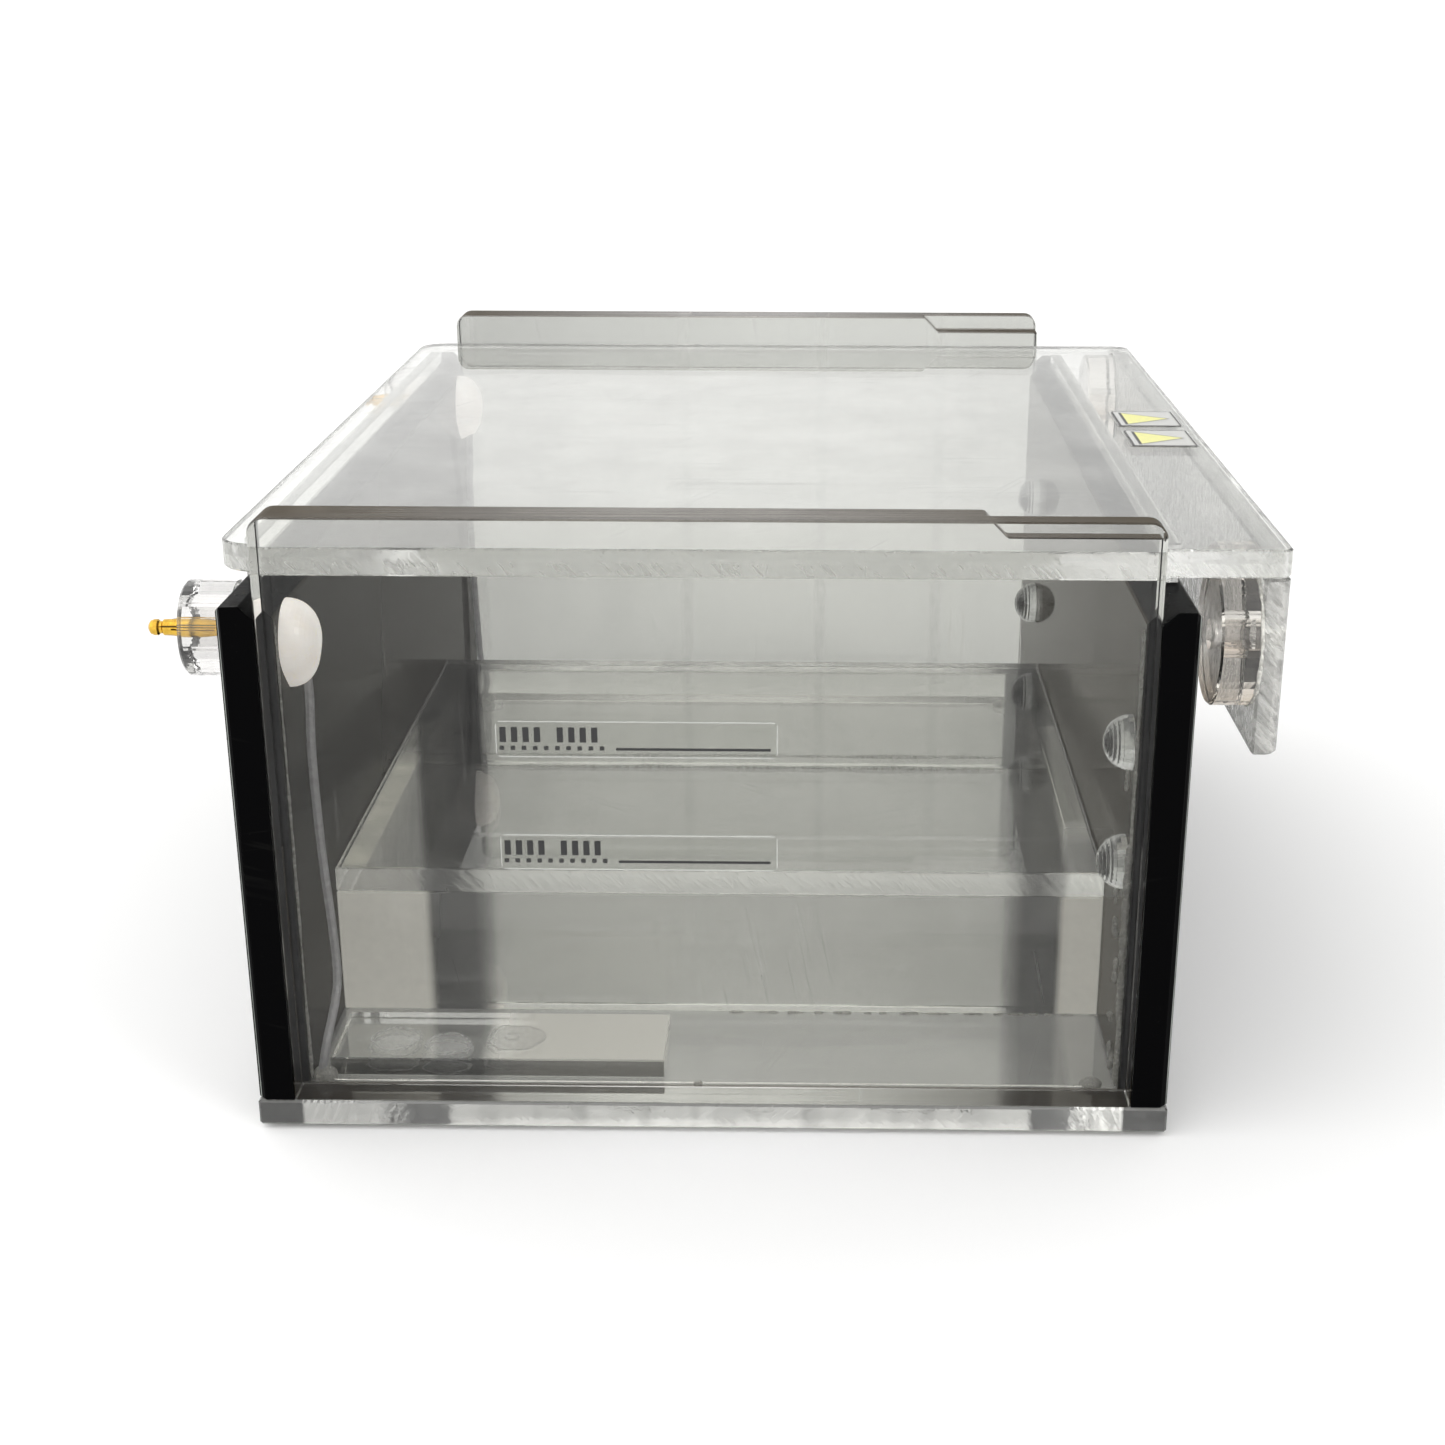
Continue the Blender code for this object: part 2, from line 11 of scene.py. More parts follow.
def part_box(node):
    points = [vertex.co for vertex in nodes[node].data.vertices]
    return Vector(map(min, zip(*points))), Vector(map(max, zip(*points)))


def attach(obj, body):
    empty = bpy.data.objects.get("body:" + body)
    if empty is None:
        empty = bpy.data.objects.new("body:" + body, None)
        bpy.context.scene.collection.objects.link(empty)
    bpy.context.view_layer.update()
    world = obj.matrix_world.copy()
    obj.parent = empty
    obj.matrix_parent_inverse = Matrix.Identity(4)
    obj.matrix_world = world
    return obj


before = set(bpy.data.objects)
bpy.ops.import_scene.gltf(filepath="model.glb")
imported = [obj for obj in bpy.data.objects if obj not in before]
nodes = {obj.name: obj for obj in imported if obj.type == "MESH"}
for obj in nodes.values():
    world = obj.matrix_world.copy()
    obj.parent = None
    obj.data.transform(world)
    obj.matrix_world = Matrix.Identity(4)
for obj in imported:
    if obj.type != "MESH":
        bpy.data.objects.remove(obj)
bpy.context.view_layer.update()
MM = 0.001


# ---------------------------------------------------------------- node helpers


class Graph:
    """A material's node tree, with short calls for the nodes that this script uses."""

    def __init__(self, name):
        self.material = bpy.data.materials.new(name)
        self.material.use_nodes = True
        self.tree = self.material.node_tree
        self.tree.nodes.clear()
        self.output = self.tree.nodes.new("ShaderNodeOutputMaterial")

    def node(self, kind, inputs=None, **settings):
        made = self.tree.nodes.new(kind)
        for key, value in settings.items():
            setattr(made, key, value)
        for key, value in (inputs or {}).items():
            self.feed(made.inputs[key], value)
        return made

    def feed(self, socket, value):
        if isinstance(value, bpy.types.NodeSocket):
            self.tree.links.new(value, socket)
        elif socket.type == "RGBA" and len(value) == 3:
            socket.default_value = (*value, 1.0)
        else:
            socket.default_value = value

    # coordinates and directions

    def place(self, scale=(1.0, 1.0, 1.0), turn=(0.0, 0.0, 0.0)):
        """Object coordinates in millimetres, turned and then stretched."""
        coords = self.node("ShaderNodeTexCoord").outputs["Object"]
        if any(turn):
            coords = self.node("ShaderNodeMapping", {"Vector": coords, "Rotation": turn}).outputs[0]
        size = tuple(1000.0 * s for s in scale)
        return self.node("ShaderNodeMapping", {"Vector": coords, "Scale": size}).outputs[0]

    def axes(self):
        """Object X, Y and Z in metres."""
        coords = self.node("ShaderNodeTexCoord").outputs["Object"]
        return self.node("ShaderNodeSeparateXYZ", {0: coords}).outputs

    def facing(self):
        """X, Y and Z of the face's own normal."""
        normal = self.node("ShaderNodeNewGeometry").outputs["True Normal"]
        return self.node("ShaderNodeSeparateXYZ", {0: normal}).outputs

    def from_outside(self):
        """One where a ray meets the surface from outside the material."""
        return self.math("SUBTRACT", 1.0, self.node("ShaderNodeNewGeometry").outputs["Backfacing"])

    # values

    def noise(self, vector, scale, detail=4.0, rough=0.55, distortion=0.0):
        values = {"Vector": vector, "Scale": scale, "Detail": detail, "Roughness": rough}
        values["Distortion"] = distortion
        return self.node("ShaderNodeTexNoise", values).outputs["Fac"]

    def ramp(self, value, low, high, out_low=0.0, out_high=1.0):
        values = {"Value": value, "From Min": low, "From Max": high}
        values.update({"To Min": out_low, "To Max": out_high})
        return self.node("ShaderNodeMapRange", values, clamp=True).outputs[0]

    def patches(self, scale, detail, low=0.0, high=1.0):
        """Uneven patches, from low to high."""
        return self.ramp(self.noise(self.place(), scale, detail), 0.3, 0.7, low, high)

    def math(self, operation, a, b=0.0, clamp=False):
        return self.node("ShaderNodeMath", {0: a, 1: b}, operation=operation, use_clamp=clamp).outputs[0]

    def combine(self, operation, values):
        values = list(values)
        made = values[0]
        for value in values[1:]:
            made = self.math(operation, made, value)
        return made

    def product(self, *values):
        return self.combine("MULTIPLY", values)

    def total(self, *values):
        return self.combine("ADD", values)

    def largest(self, values):
        return self.combine("MAXIMUM", values)

    def band(self, value, low, high, soft=0.05):
        """One inside an interval, in millimetres, of a coordinate given in metres."""
        rise = self.ramp(value, (low - soft) * MM, (low + soft) * MM)
        fall = self.ramp(value, (high - soft) * MM, (high + soft) * MM, 1.0, 0.0)
        return self.product(rise, fall)

    def scratches(self, turn, scale, amount):
        """Fine straight scratches, mostly along one direction."""
        vector = self.place((1.0, 0.018, 0.018), turn)
        lines = self.noise(vector, scale, 2.0, 0.5)
        where = self.noise(self.place(), 0.035, 2.0, 0.5)
        lines = self.ramp(lines, 0.66, 0.74)
        return self.product(lines, self.ramp(where, 0.42, 0.75, 0.0, amount))

    # colours, normals and shaders

    def mix(self, factor, a, b):
        made = self.node("ShaderNodeMix", data_type="RGBA")
        self.feed(made.inputs[0], factor)
        self.feed(made.inputs[6], a)
        self.feed(made.inputs[7], b)
        return made.outputs[2]

    def bump(self, height, strength, distance, normal=None):
        values = {"Height": height, "Strength": strength, "Distance": distance}
        if normal is not None:
            values["Normal"] = normal
        return self.node("ShaderNodeBump", values).outputs[0]

    def principled(self, values):
        return self.node("ShaderNodeBsdfPrincipled", values).outputs[0]

    def matt(self, color, **more):
        return self.node("ShaderNodeBsdfDiffuse", {"Color": color, **more}).outputs[0]

    def cover(self, amount, below, above):
        """The shader above laid over the one below, by amount."""
        return self.node("ShaderNodeMixShader", {0: amount, 1: below, 2: above}).outputs[0]

    def lets_lamps_through(self, shader, tint):
        """Puts a clear shader in its place for lamp rays, so that what stands inside is lit."""
        rays = self.node("ShaderNodeLightPath").outputs["Is Shadow Ray"]
        open_way = self.node("ShaderNodeBsdfTransparent", {"Color": tint}).outputs[0]
        return self.cover(rays, shader, open_way)

    def finish(self, surface):
        self.tree.links.new(surface, self.output.inputs["Surface"])
        return self.material


def darker(factor, color):
    return tuple(factor * c for c in color)


# ---------------------------------------------------------------- features of the acrylic

RISER_FACE = 88.0
LEFT_BAND = ((-0.139, -55.8), (-0.19, -70.0))
RIGHT_BAND = ((0.084, 69.4), (0.05, 81.4))
STREAKS = (-88.0, -20.0, 24.0, 62.0)


def painted_shade_bands(graph):
    """Painted shade: two darker bands along the tank, beside the walls, that lean outwards away from the near
    end. They stand for reflections of the black walls.

    Each band is given as its inner and outer edge: how far the edge leans out for each unit away
    from the near riser's face, and where it starts, in millimetres.
    """
    x, y, _ = graph.axes()
    away = graph.math("ADD", y, RISER_FACE * MM)
    bands = []
    for (rate_in, inner), (rate_out, outer) in (LEFT_BAND, RIGHT_BAND):
        side = 1.0 if inner > 0.0 else -1.0
        from_inner = graph.product(graph.math("SUBTRACT", x, graph.product(away, rate_in)), side)
        from_outer = graph.product(graph.math("SUBTRACT", x, graph.product(away, rate_out)), side)
        beyond = graph.ramp(from_inner, (abs(inner) - 2.5) * MM, (abs(inner) + 2.5) * MM)
        within = graph.ramp(from_outer, (abs(outer) - 1) * MM, (abs(outer) + 1) * MM, 1.0, 0.0)
        bands.append(graph.product(beyond, within))
    return graph.product(graph.largest(bands), graph.patches(0.05, 4.0, 0.8, 1.0))


def painted_light_ends(graph, facing):
    """Painted light on the near riser's near face, towards both ends: cream patches that stand for reflected
    light.
    """
    x = graph.axes()[0]
    left = graph.ramp(x, -70.0 * MM, -67.5 * MM, 1.0, 0.0)
    right = graph.ramp(x, 79.5 * MM, 81.0 * MM)
    amount = graph.patches(0.12, 4.0, 0.68, 0.85)
    toward = graph.ramp(graph.product(facing[1], -1.0), 0.5, 0.9)
    return graph.product(graph.largest((left, right)), amount, toward)


def painted_light_corner(graph, facing):
    """Painted light under the platform's near left corner, in a wedge that narrows away from the riser: a cream
    patch that stands for reflected light.
    """
    x, y, _ = graph.axes()
    line = graph.math("ADD", x, graph.product(graph.math("ADD", y, RISER_FACE * MM), 0.19))
    wedge = graph.ramp(line, -70.0 * MM, -68.0 * MM, 1.0, 0.0)
    amount = graph.patches(0.08, 4.0, 0.45, 0.62)
    under = graph.ramp(graph.product(facing[2], -1.0), 0.5, 0.9)
    return graph.product(wedge, amount, under)


def haze_and_glow_half(graph, facing):
    """A mask for the right half of the loose slab's top: haze there, with a faint glow of painted light."""
    right = graph.ramp(graph.axes()[0], -53.0 * MM, -42.0 * MM, 0.0, 0.62)
    return graph.product(right, graph.ramp(facing[2], 0.5, 0.9))


def residue(graph, rings):
    """Dried drops: uneven rings, given as (X, Y, radius) in millimetres, with a faint film inside."""
    x, y, _ = graph.axes()
    uneven = graph.patches(0.16, 3.0, -0.9 * MM, 0.9 * MM)
    stains = []
    for centre_x, centre_y, radius in rings:
        across = graph.math("SUBTRACT", x, centre_x * MM)
        along = graph.math("SUBTRACT", y, centre_y * MM)
        squares = graph.total(graph.product(across, across), graph.product(along, along))
        distance = graph.total(graph.math("SQRT", squares), uneven)
        stains.append(graph.band(distance, radius - 0.45, radius + 0.2, 0.3))
        stains.append(graph.ramp(distance, (radius - 1.2) * MM, radius * MM, 0.3, 0.0))
    patchy = graph.ramp(graph.noise(graph.place(), 0.9, 4.0), 0.35, 0.6, 0.3, 1.0)
    return graph.product(graph.largest(stains), patchy)


def upright_streaks(graph):
    """Patchy milky streaks from top to bottom."""
    x = graph.axes()[0]
    stripes = graph.largest(graph.band(x, centre - 1.6, centre + 1.6, 0.9) for centre in STREAKS)
    noise = graph.noise(graph.place((1.0, 1.0, 0.3)), 0.5, 4.0, 0.7)
    return graph.product(stripes, graph.ramp(noise, 0.35, 0.65, 0.15, 0.55))


def segmented(graph, tint):
    """Painted shade for a front face: the tint, broken into lighter and darker lengths along X, and darker
    towards the left.
    """
    steps = graph.noise(graph.place((1.0, 0.0, 0.0)), 0.11, 3.0, 0.6)
    steps = graph.ramp(steps, 0.42, 0.5, 0.55, 1.0)
    leftward = graph.ramp(graph.axes()[0], -75 * MM, -15 * MM, 0.55, 1.0)
    return graph.mix(graph.product(steps, leftward), darker(0.35, tint), tint)


def saw_marks(graph, only_below):
    """Slanting marks of the saw. only_below is the height, in millimetres, above which they fade."""
    marks = graph.noise(graph.place((1.0, 0.6, 0.16), (0.0, 0.75, 0.0)), 0.8, 3.0, 0.6, 0.3)
    if only_below is None:
        return marks
    z = graph.axes()[2]
    return graph.product(marks, graph.ramp(z, (only_below - 0.4) * MM, (only_below + 0.6) * MM, 1.0, 0.2))


# ---------------------------------------------------------------- materials


def acrylic(
    name, tint, haze=0.0, scratch=1.0, wave=1.0, edge=0.0, seed=0.0, ior=1.49, shade=(1.0, 1.0, 1.0),
    streaks=False, cloud_to=None, fade=False, low_tint=None, top_tint=None, front_tint=None,
    segments=False, painted_shade_strength=0.0, dark_ends=None, sawn_below=None, top_haze=0.0, front_haze=0.0,
    clouded=None, glow=0.0, rings=(), shine=None,
):
    """Clear cast acrylic: a faint tint, slow ripples, fine scratches and haze.

    haze, scratch, wave: strength of the smears, the scratches and the ripples
    edge, sawn_below: strength of the saw marks on upright faces, and the height that they stay under
    shade: what each surface lets through of the lamps' light
    streaks, cloud_to: milky upright streaks; haze over the near end, as far as this Y
    fade: darker towards the left
    low_tint: a colour for the lowest part, and the heights where it starts to fade and is gone
    top_tint, front_tint: colours of the faces that look up and to the near end, both painted: a brown reflection
    on the tops, and shade on the near faces
    segments: the painted shade of the front tint in lighter and darker lengths
    painted_shade_strength: strength of the painted shade, two darker bands beside the walls
    dark_ends: the distance from the middle, along X, beyond which the colour is black, as painted shade towards
    the walls
    top_haze, front_haze: white film on the faces that look up and to the near end
    clouded, glow: a function for where the face takes a cream cover that glows, and the strength of that painted
    glow
    rings: dried drops on the faces that look up
    shine: index of an extra reflection
    """
    g = Graph(name)
    facing = g.facing()
    frontward = g.product(facing[1], -1.0)

    long_way = g.scratches((0.0, 0.0, 0.25 + seed), 1.3, scratch)
    cross_way = g.scratches((0.0, 0.2, 1.35 + seed), 1.1, 0.8 * scratch)
    lines = g.largest((long_way, cross_way))
    smear = g.ramp(g.noise(g.place(), 0.045 + 0.01 * seed, 5.0, 0.6), 0.45, 0.75, 0.0, haze)
    if streaks:
        smear = g.largest((smear, upright_streaks(g)))
    if cloud_to is not None:
        near_end = g.ramp(g.axes()[1], (cloud_to - 12) * MM, (cloud_to + 6) * MM, 1.0, 0.02)
        smear = g.product(g.total(smear, 2.0 * haze), near_end)
    rough = g.total(g.product(lines, 0.12), g.product(smear, 0.06))
    normal = g.bump(g.noise(g.place(), 0.03, 2.0, 0.4), 0.10 * wave, 0.0004)
    normal = g.bump(lines, 0.10, 0.0001, normal)

    color = g.mix(g.patches(0.02, 3.0), tint, darker(0.97, tint))
    if fade:
        leftward = g.ramp(g.axes()[0], -85 * MM, 5 * MM, 1.0, 0.0)
        color = g.mix(leftward, color, darker(0.8, tint))
    if low_tint is not None:
        low_color, start, gone = low_tint
        color = g.mix(g.ramp(g.axes()[2], start * MM, gone * MM), low_color, color)
    # Painted reflection: the faces that look up turn brown, darker in streaks and towards the ends, for the dark
    # reflections along the plates' top edges.
    if top_tint is not None:
        top_reflection_streaks = g.ramp(g.noise(g.place((0.02, 1.0, 1.0)), 0.9, 3.0), 0.3, 0.7, 0.0, 0.35)
        outward = g.ramp(g.math("ABSOLUTE", g.axes()[0]), 15 * MM, 85 * MM, 0.0, 0.65)
        top_reflection_color = g.mix(g.total(top_reflection_streaks, outward), top_tint, darker(0.12, top_tint))
        color = g.mix(g.ramp(facing[2], 0.2, 0.8), color, top_reflection_color)
    # Painted shade: darker bands beside the walls, standing for the walls' reflections.
    if painted_shade_strength > 0.0:
        color = g.mix(g.product(painted_shade_bands(g), painted_shade_strength), color, darker(0.04, tint))
    # Painted shade: the faces that look to the near end take the darker front tint.
    if front_tint is not None:
        if segments:
            front_tint = segmented(g, front_tint)
        color = g.mix(g.ramp(frontward, 0.2, 0.8), color, front_tint)
    # Painted shade: black towards the ends, where the black walls stand.
    if dark_ends is not None:
        reach = g.math("ABSOLUTE", g.axes()[0])
        at_end = g.ramp(reach, (dark_ends - 0.4) * MM, (dark_ends + 0.4) * MM)
        color = g.mix(at_end, color, (0.015, 0.015, 0.015))

    dust = g.total(g.product(smear, 0.22), g.product(lines, 0.16))
    if edge > 0.0:
        side = g.ramp(g.math("ABSOLUTE", facing[2]), 0.3, 0.6, edge, 0.0)
        marks = saw_marks(g, sawn_below)
        rough = g.total(rough, g.product(side, g.ramp(marks, 0.35, 0.65, 0.05, 0.35)))
        normal = g.bump(g.product(marks, side), 0.7, 0.0008, normal)
        dust = g.total(dust, g.product(side, g.ramp(marks, 0.4, 0.6, 0.10, 0.42)))
    patchy = g.patches(0.03, 4.0, 0.75, 1.1)
    if top_haze > 0.0:
        film = g.product(g.ramp(facing[2], 0.5, 0.9, 0.0, top_haze), g.from_outside())
        dust = g.total(dust, g.product(film, patchy))
    if front_haze > 0.0:
        film = g.ramp(frontward, 0.5, 0.9, 0.0, front_haze)
        dust = g.total(dust, g.product(film, patchy))

    values = {"Base Color": color, "Roughness": rough, "Normal": normal, "IOR": ior}
    shader = g.principled({**values, "Transmission Weight": 1.0})
    bloom = g.matt((0.93, 0.93, 0.90), Roughness=0.5)
    shader = g.cover(dust, shader, bloom)
    # Painted light: a cream cover that glows, where the clouded function says.
    if clouded is not None:
        light = {"Color": (0.95, 0.93, 0.84), "Strength": glow}
        through = g.node("ShaderNodeEmission", light).outputs[0]
        cream_and_glow = g.node("ShaderNodeAddShader", {0: g.matt((0.95, 0.93, 0.85)), 1: through}).outputs[0]
        shader = g.cover(clouded(g, facing), shader, cream_and_glow)
    # Painted reflection: a dark brown cover on the faces that look up, more in streaks and towards the ends.
    if top_tint is not None:
        top_reflection_cover = g.total(g.product(top_reflection_streaks, 0.6), g.total(outward, 0.12))
        top_reflection_cover = g.product(g.ramp(facing[2], 0.5, 0.9), top_reflection_cover)
        shader = g.cover(top_reflection_cover, shader, g.matt((0.085, 0.072, 0.055)))
    if rings:
        stain = g.product(residue(g, rings), g.ramp(facing[2], 0.5, 0.9, 0.0, 0.8))
        shader = g.cover(stain, shader, bloom)
    if shine is not None:
        amount = g.product(g.node("ShaderNodeFresnel", {"IOR": shine}).outputs[0], g.from_outside())
        if dark_ends is not None:
            amount = g.product(amount, g.math("SUBTRACT", 1.0, at_end))
        mirror = {"Color": (1.0, 1.0, 1.0), "Roughness": 0.0, "Normal": normal}
        shader = g.cover(amount, shader, g.node("ShaderNodeBsdfGlossy", mirror).outputs[0])
    return g.finish(g.lets_lamps_through(shader, shade))


def black_acrylic(name):
    """Black walls: browner on the inner faces, a painted reflection of the lit inside, with a painted highlight
    line along each wall just inside its outer side.
    """
    g = Graph(name)
    lines = g.largest((g.scratches((0.3, 0.0, 1.5), 1.2, 1.0), g.scratches((1.2, 0.0, 1.7), 1.4, 0.7)))
    dust = g.ramp(g.noise(g.place(), 1.6, 5.0, 0.7), 0.68, 0.78, 0.0, 0.5)
    smear = g.ramp(g.noise(g.place(), 0.06, 4.0), 0.4, 0.8)
    top = g.ramp(g.facing()[2], 0.4, 0.6)
    ripples = g.noise(g.place((0.4, 1.0, 1.0)), 0.9, 3.0, 0.6, 0.4)
    rough = g.total(
        g.product(lines, 0.12),
        g.product(smear, 0.015),
        g.product(dust, 0.1),
        g.product(top, g.ramp(ripples, 0.3, 0.7, 0.10, 0.28)),
        0.008,
    )
    normal = g.bump(g.noise(g.place(), 0.04, 2.0), 0.06, 0.0003)
    normal = g.bump(g.product(ripples, top), 0.35, 0.0003, normal)
    x = g.axes()[0]
    # Painted reflection: the inner faces are browner, for the lit inside that they reflect.
    inner = g.ramp(g.math("ABSOLUTE", x), 90.2 * MM, 90.6 * MM, 1.0, 0.0)
    color = g.mix(inner, (0.0018, 0.0018, 0.0020), (0.048, 0.042, 0.031))
    dirt = g.total(g.product(dust, 0.35), g.product(lines, 0.06))
    color = g.mix(dirt, color, (0.10, 0.10, 0.09))
    # Painted highlight: a light line along each wall, just inside its outer side.
    painted_edge_highlight = g.largest((g.band(x, 99.55, 99.8, 0.06), g.band(x, -99.45, -99.25, 0.06)))
    uneven = g.ramp(g.noise(g.place((0.3, 0.3, 0.3)), 0.16, 3.0), 0.3, 0.6, 0.35, 1.0)
    color = g.mix(g.product(painted_edge_highlight, uneven), color, (0.30, 0.32, 0.30))
    values = {"Base Color": color, "Roughness": rough, "Normal": normal}
    return g.finish(g.principled({**values, "IOR": 1.49, "Specular IOR Level": 0.011}))


def metal(name, color, dark, rough, slotted=None):
    """Turned metal with wear. slotted names a pin along X, which gets painted shade as dark slots between its
    springs.
    """
    g = Graph(name)
    wear = g.ramp(g.noise(g.place(), 0.5, 5.0, 0.65), 0.35, 0.7)
    turned = g.noise(g.place((6.0, 0.4, 0.4)), 0.6, 3.0, 0.6)
    shade = g.mix(wear, color, dark)
    if slotted is not None:
        low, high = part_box(slotted)
        x, y, z = g.axes()
        across = g.math("SUBTRACT", y, (low[1] + high[1]) / 2)
        rise = g.math("SUBTRACT", z, (low[2] + high[2]) / 2)
        angle = g.math("ADD", g.math("ARCTAN2", rise, across), 0.35)
        beside = g.math("ABSOLUTE", g.math("SINE", g.product(angle, 2.0)))
        # Painted shade: dark stripes for the gaps between the pin's springs.
        slot = g.product(g.ramp(beside, 0.12, 0.30, 1.0, 0.0), g.band(x, low[0] / MM + 2.5, -105.0, 0.5))
        shade = g.mix(slot, shade, (0.06, 0.035, 0.01))
    roughness = g.total(g.ramp(turned, 0.3, 0.7, 0.0, 0.1), g.ramp(wear, 0.0, 1.0, rough, rough + 0.12))
    normal = g.bump(turned, 0.15, 0.00005)
    values = {"Base Color": shade, "Metallic": 1.0, "Roughness": roughness, "Normal": normal}
    return g.finish(g.principled(values))


def sealant(name):
    """Cream potting with soft lumps and a few pits, and a glow of painted light."""
    g = Graph(name)
    tone = g.noise(g.place(), 0.22, 4.0)
    color = g.mix(g.ramp(tone, 0.35, 0.7), (0.93, 0.90, 0.85), (0.87, 0.81, 0.75))
    lumps = g.noise(g.place(), 0.25, 3.0, 0.5)
    pits = g.ramp(g.noise(g.place(), 1.8, 3.0, 0.6), 0.62, 0.75)
    normal = g.bump(lumps, 0.45, 0.0008)
    normal = g.bump(pits, -0.2, 0.0001, normal)
    values = {
        "Base Color": color,
        "Roughness": g.patches(0.4, 3.0, 0.22, 0.42),
        "Normal": normal,
        "Subsurface Weight": 0.35,
        "Subsurface Radius": (0.004, 0.003, 0.002),
        "Subsurface Scale": 0.6,
        # Painted light: the potting glows in its own colour, for light that does not reach it inside the tank.
        "Emission Color": color,
        "Emission Strength": 0.55,
    }
    return g.finish(g.principled(values))


def clear_rubber(name, tint, ior, rough, milk=0.0, stuck=False):
    """Clear soft plastic. milk clouds it, and stuck darkens the flat face that is glued to the right wall."""
    g = Graph(name)
    cloud = g.noise(g.place(), 0.35, 3.0)
    color = g.mix(g.ramp(cloud, 0.3, 0.7), tint, darker(0.95, tint))
    roughness = g.ramp(g.noise(g.place(), 0.9, 4.0, 0.6), 0.45, 0.8, rough, rough + 0.12)
    normal = g.bump(g.noise(g.place(), 0.3, 2.0), 0.12, 0.0003)
    values = {"Base Color": color, "Roughness": roughness, "Normal": normal, "IOR": ior}
    shader = g.principled({**values, "Transmission Weight": 1.0})
    if milk > 0.0:
        clouded = g.ramp(cloud, 0.3, 0.7, 0.6 * milk, milk)
        shader = g.cover(clouded, shader, g.matt((0.93, 0.92, 0.90)))
    if stuck:
        flat = g.ramp(g.math("ABSOLUTE", g.facing()[0]), 0.985, 0.995)
        at_wall = g.ramp(g.axes()[0], 89.0 * MM, 89.4 * MM)
        shader = g.cover(g.product(flat, at_wall, 0.3), shader, g.matt((0.012, 0.011, 0.010)))
    return g.finish(g.lets_lamps_through(shader, tint))


def cement(name):
    """Set solvent cement, half clear and half milky."""
    g = Graph(name)
    grit = g.noise(g.place(), 1.3, 5.0, 0.7)
    milk = g.ramp(g.noise(g.place(), 0.7, 4.0, 0.6), 0.35, 0.65)
    color = g.mix(milk, (0.62, 0.61, 0.56), (0.93, 0.92, 0.88))
    normal = g.bump(grit, 0.7, 0.0004)
    rough = g.ramp(grit, 0.3, 0.7, 0.06, 0.35)
    values = {"Base Color": color, "Roughness": rough, "Normal": normal, "IOR": 1.47}
    glass = g.principled({**values, "Transmission Weight": 1.0})
    white = g.matt((0.86, 0.85, 0.80), Normal=normal)
    shader = g.cover(g.ramp(milk, 0.0, 1.0, 0.3, 0.8), glass, white)
    return g.finish(g.lets_lamps_through(shader, (0.8, 0.8, 0.77)))


def film_shader(g, gloss_rough):
    """A thin clear film: see-through, with a shine that grows towards grazing."""
    clear = g.node("ShaderNodeBsdfTransparent", {"Color": (0.955, 0.958, 0.95)}).outputs[0]
    gloss = {"Color": (1.0, 1.0, 1.0), "Roughness": gloss_rough}
    amount = g.product(g.node("ShaderNodeFresnel", {"IOR": 1.3}).outputs[0], 0.8)
    return g.cover(amount, clear, g.node("ShaderNodeBsdfGlossy", gloss).outputs[0])


def fill_film(name):
    """The fill mark: two groups of four bars, a dotted row and a level line, black on clear film."""
    g = Graph(name)
    low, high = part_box(name)
    x, _, z = g.axes()
    base = low[2] / MM
    bar_starts = [-42.9 + 2.36 * index for index in range(9) if index != 4]
    dot_starts = [-43.0 + 2.3 * index for index in range(10)]
    bars = g.largest(g.band(x, start, start + 1.25) for start in bar_starts)
    bars = g.product(bars, g.band(z, base + 3.3, base + 6.5))
    dots = g.largest(g.band(x, start, start + 0.85, 0.12) for start in dot_starts)
    dots = g.product(dots, g.band(z, base + 1.6, base + 2.4, 0.12))
    line = g.product(g.band(x, -19.0, 12.9), g.band(z, base + 1.6, base + 2.1))
    patchy = g.ramp(g.noise(g.place(), 2.5, 3.0, 0.6), 0.2, 0.45, 0.82, 1.0)
    print_on = g.product(g.largest((bars, dots, line)), patchy)
    inside = g.product(
        g.band(x, low[0] / MM + 0.25, high[0] / MM - 0.25),
        g.band(z, base + 0.25, high[2] / MM - 0.25),
    )
    rim = g.product(g.math("SUBTRACT", 1.0, inside), 0.3)
    film = film_shader(g, g.patches(0.4, 4.0, 0.04, 0.2))
    film = g.cover(rim, film, g.matt((0.75, 0.76, 0.74)))
    ink = g.principled({"Base Color": (0.012, 0.012, 0.013), "Roughness": 0.35})
    return g.finish(g.cover(print_on, film, ink))


